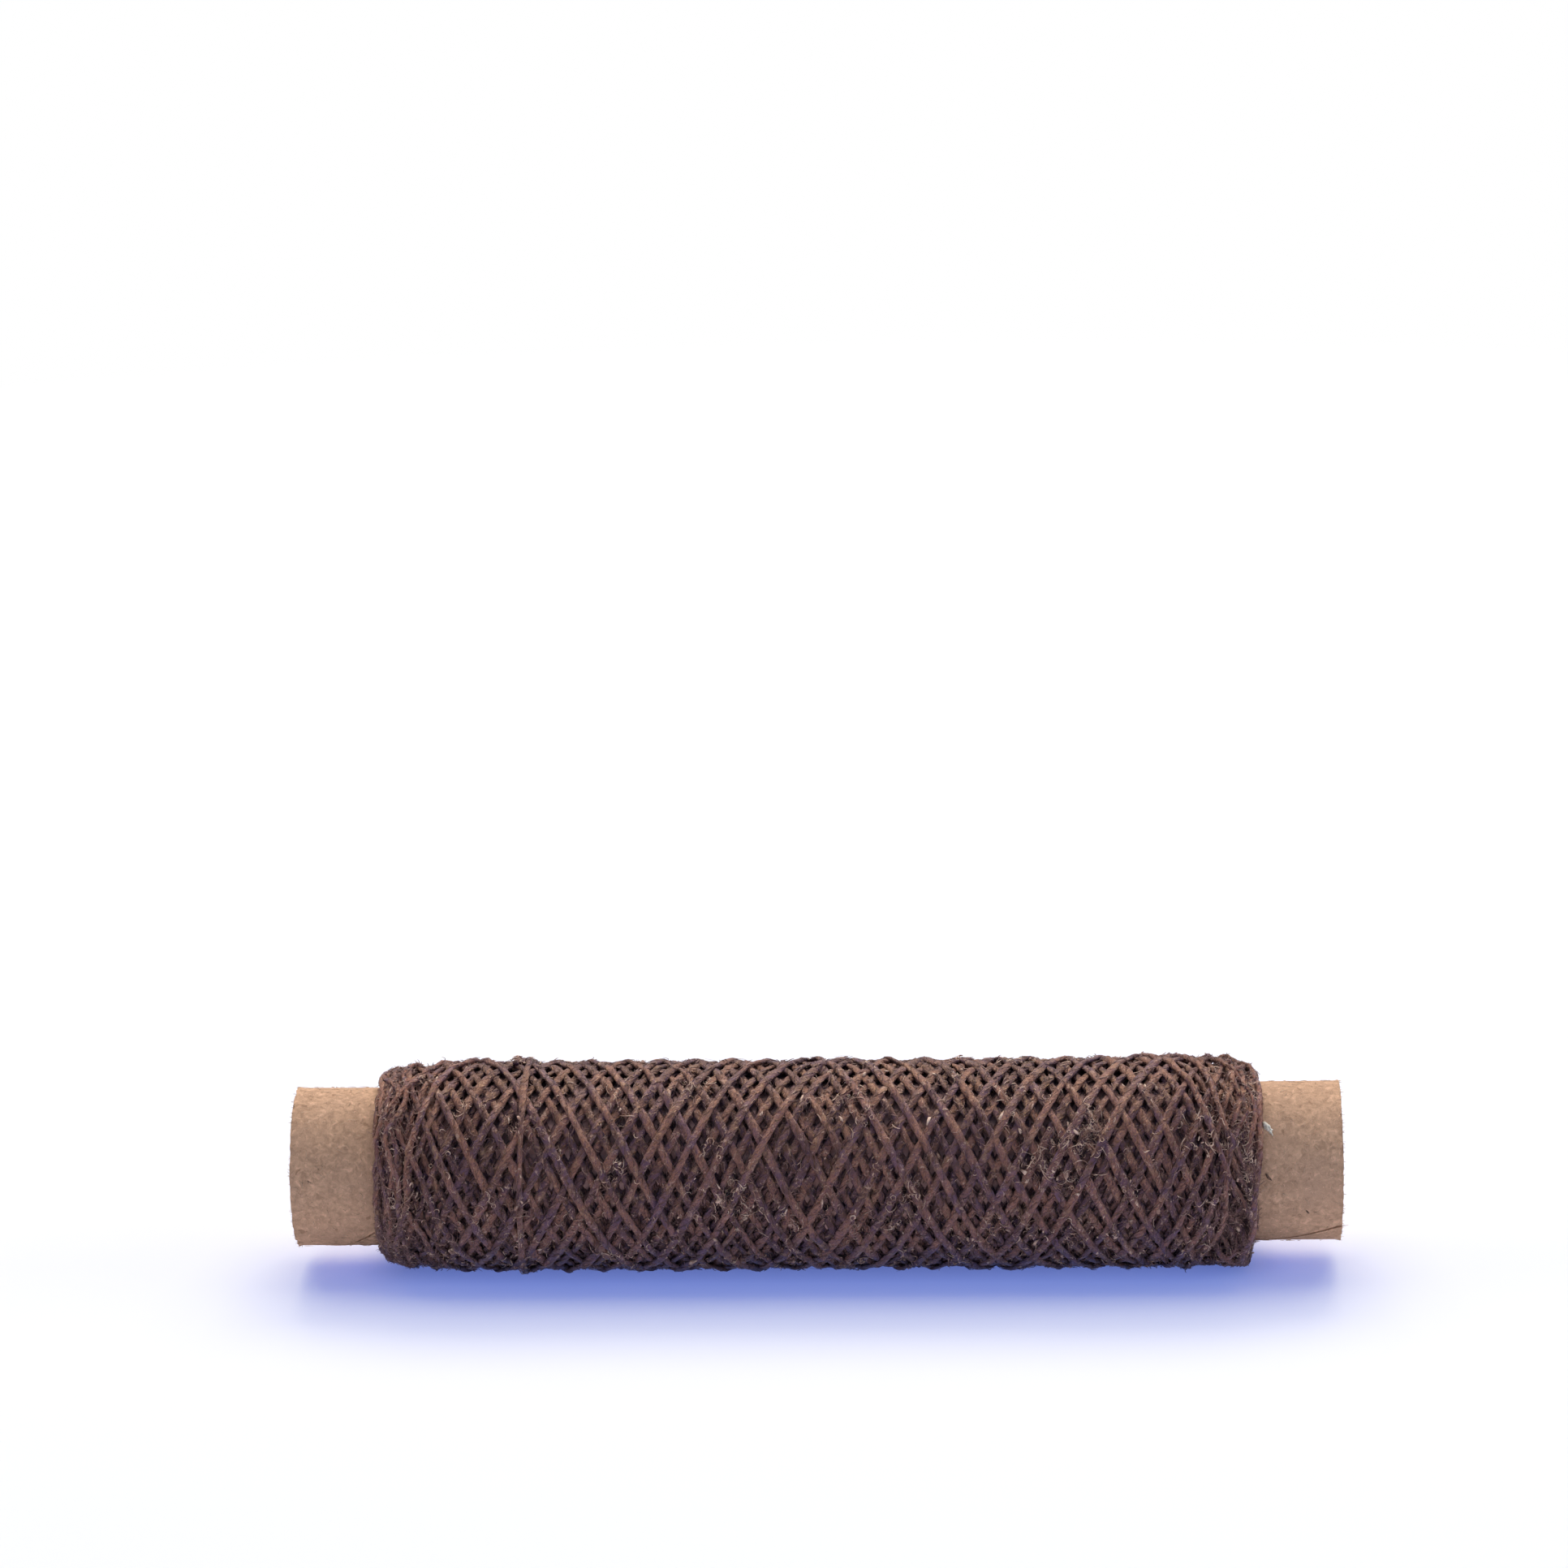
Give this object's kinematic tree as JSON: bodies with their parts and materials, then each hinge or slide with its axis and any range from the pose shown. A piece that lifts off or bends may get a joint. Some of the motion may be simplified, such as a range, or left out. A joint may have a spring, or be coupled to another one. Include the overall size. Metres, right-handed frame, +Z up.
{
  "type": "waxed thread spool",
  "caption": "Small package of waxed thread, cross-wound in open diamonds on a spiral-wound kraft paper tube whose plain ends stand out on both sides.",
  "frame": {"origin": "on the axis of the tube's bore, half-way along it", "axes": "+X along the tube's axis, +Z up when the spool lies on its side with the package's flat underneath"},
  "size_m": [0.089, 0.0182, 0.0181],
  "materials": {
    "kraft": "matte spiral-wound kraft paper",
    "kraft_inside": "matte kraft paper, slightly darker inside",
    "thread": "dark brown flat waxed thread with a low waxy sheen",
    "thread_deep": "the same thread, in the shade of the layers over it"
  },
  "bodies": {
    "root": {"inner_ply": "kraft_inside", "middle_ply": "kraft_inside", "outer_ply": "kraft", "buried_windings": "thread_deep", "outer_winding": "thread"}
  },
  "joints": []
}
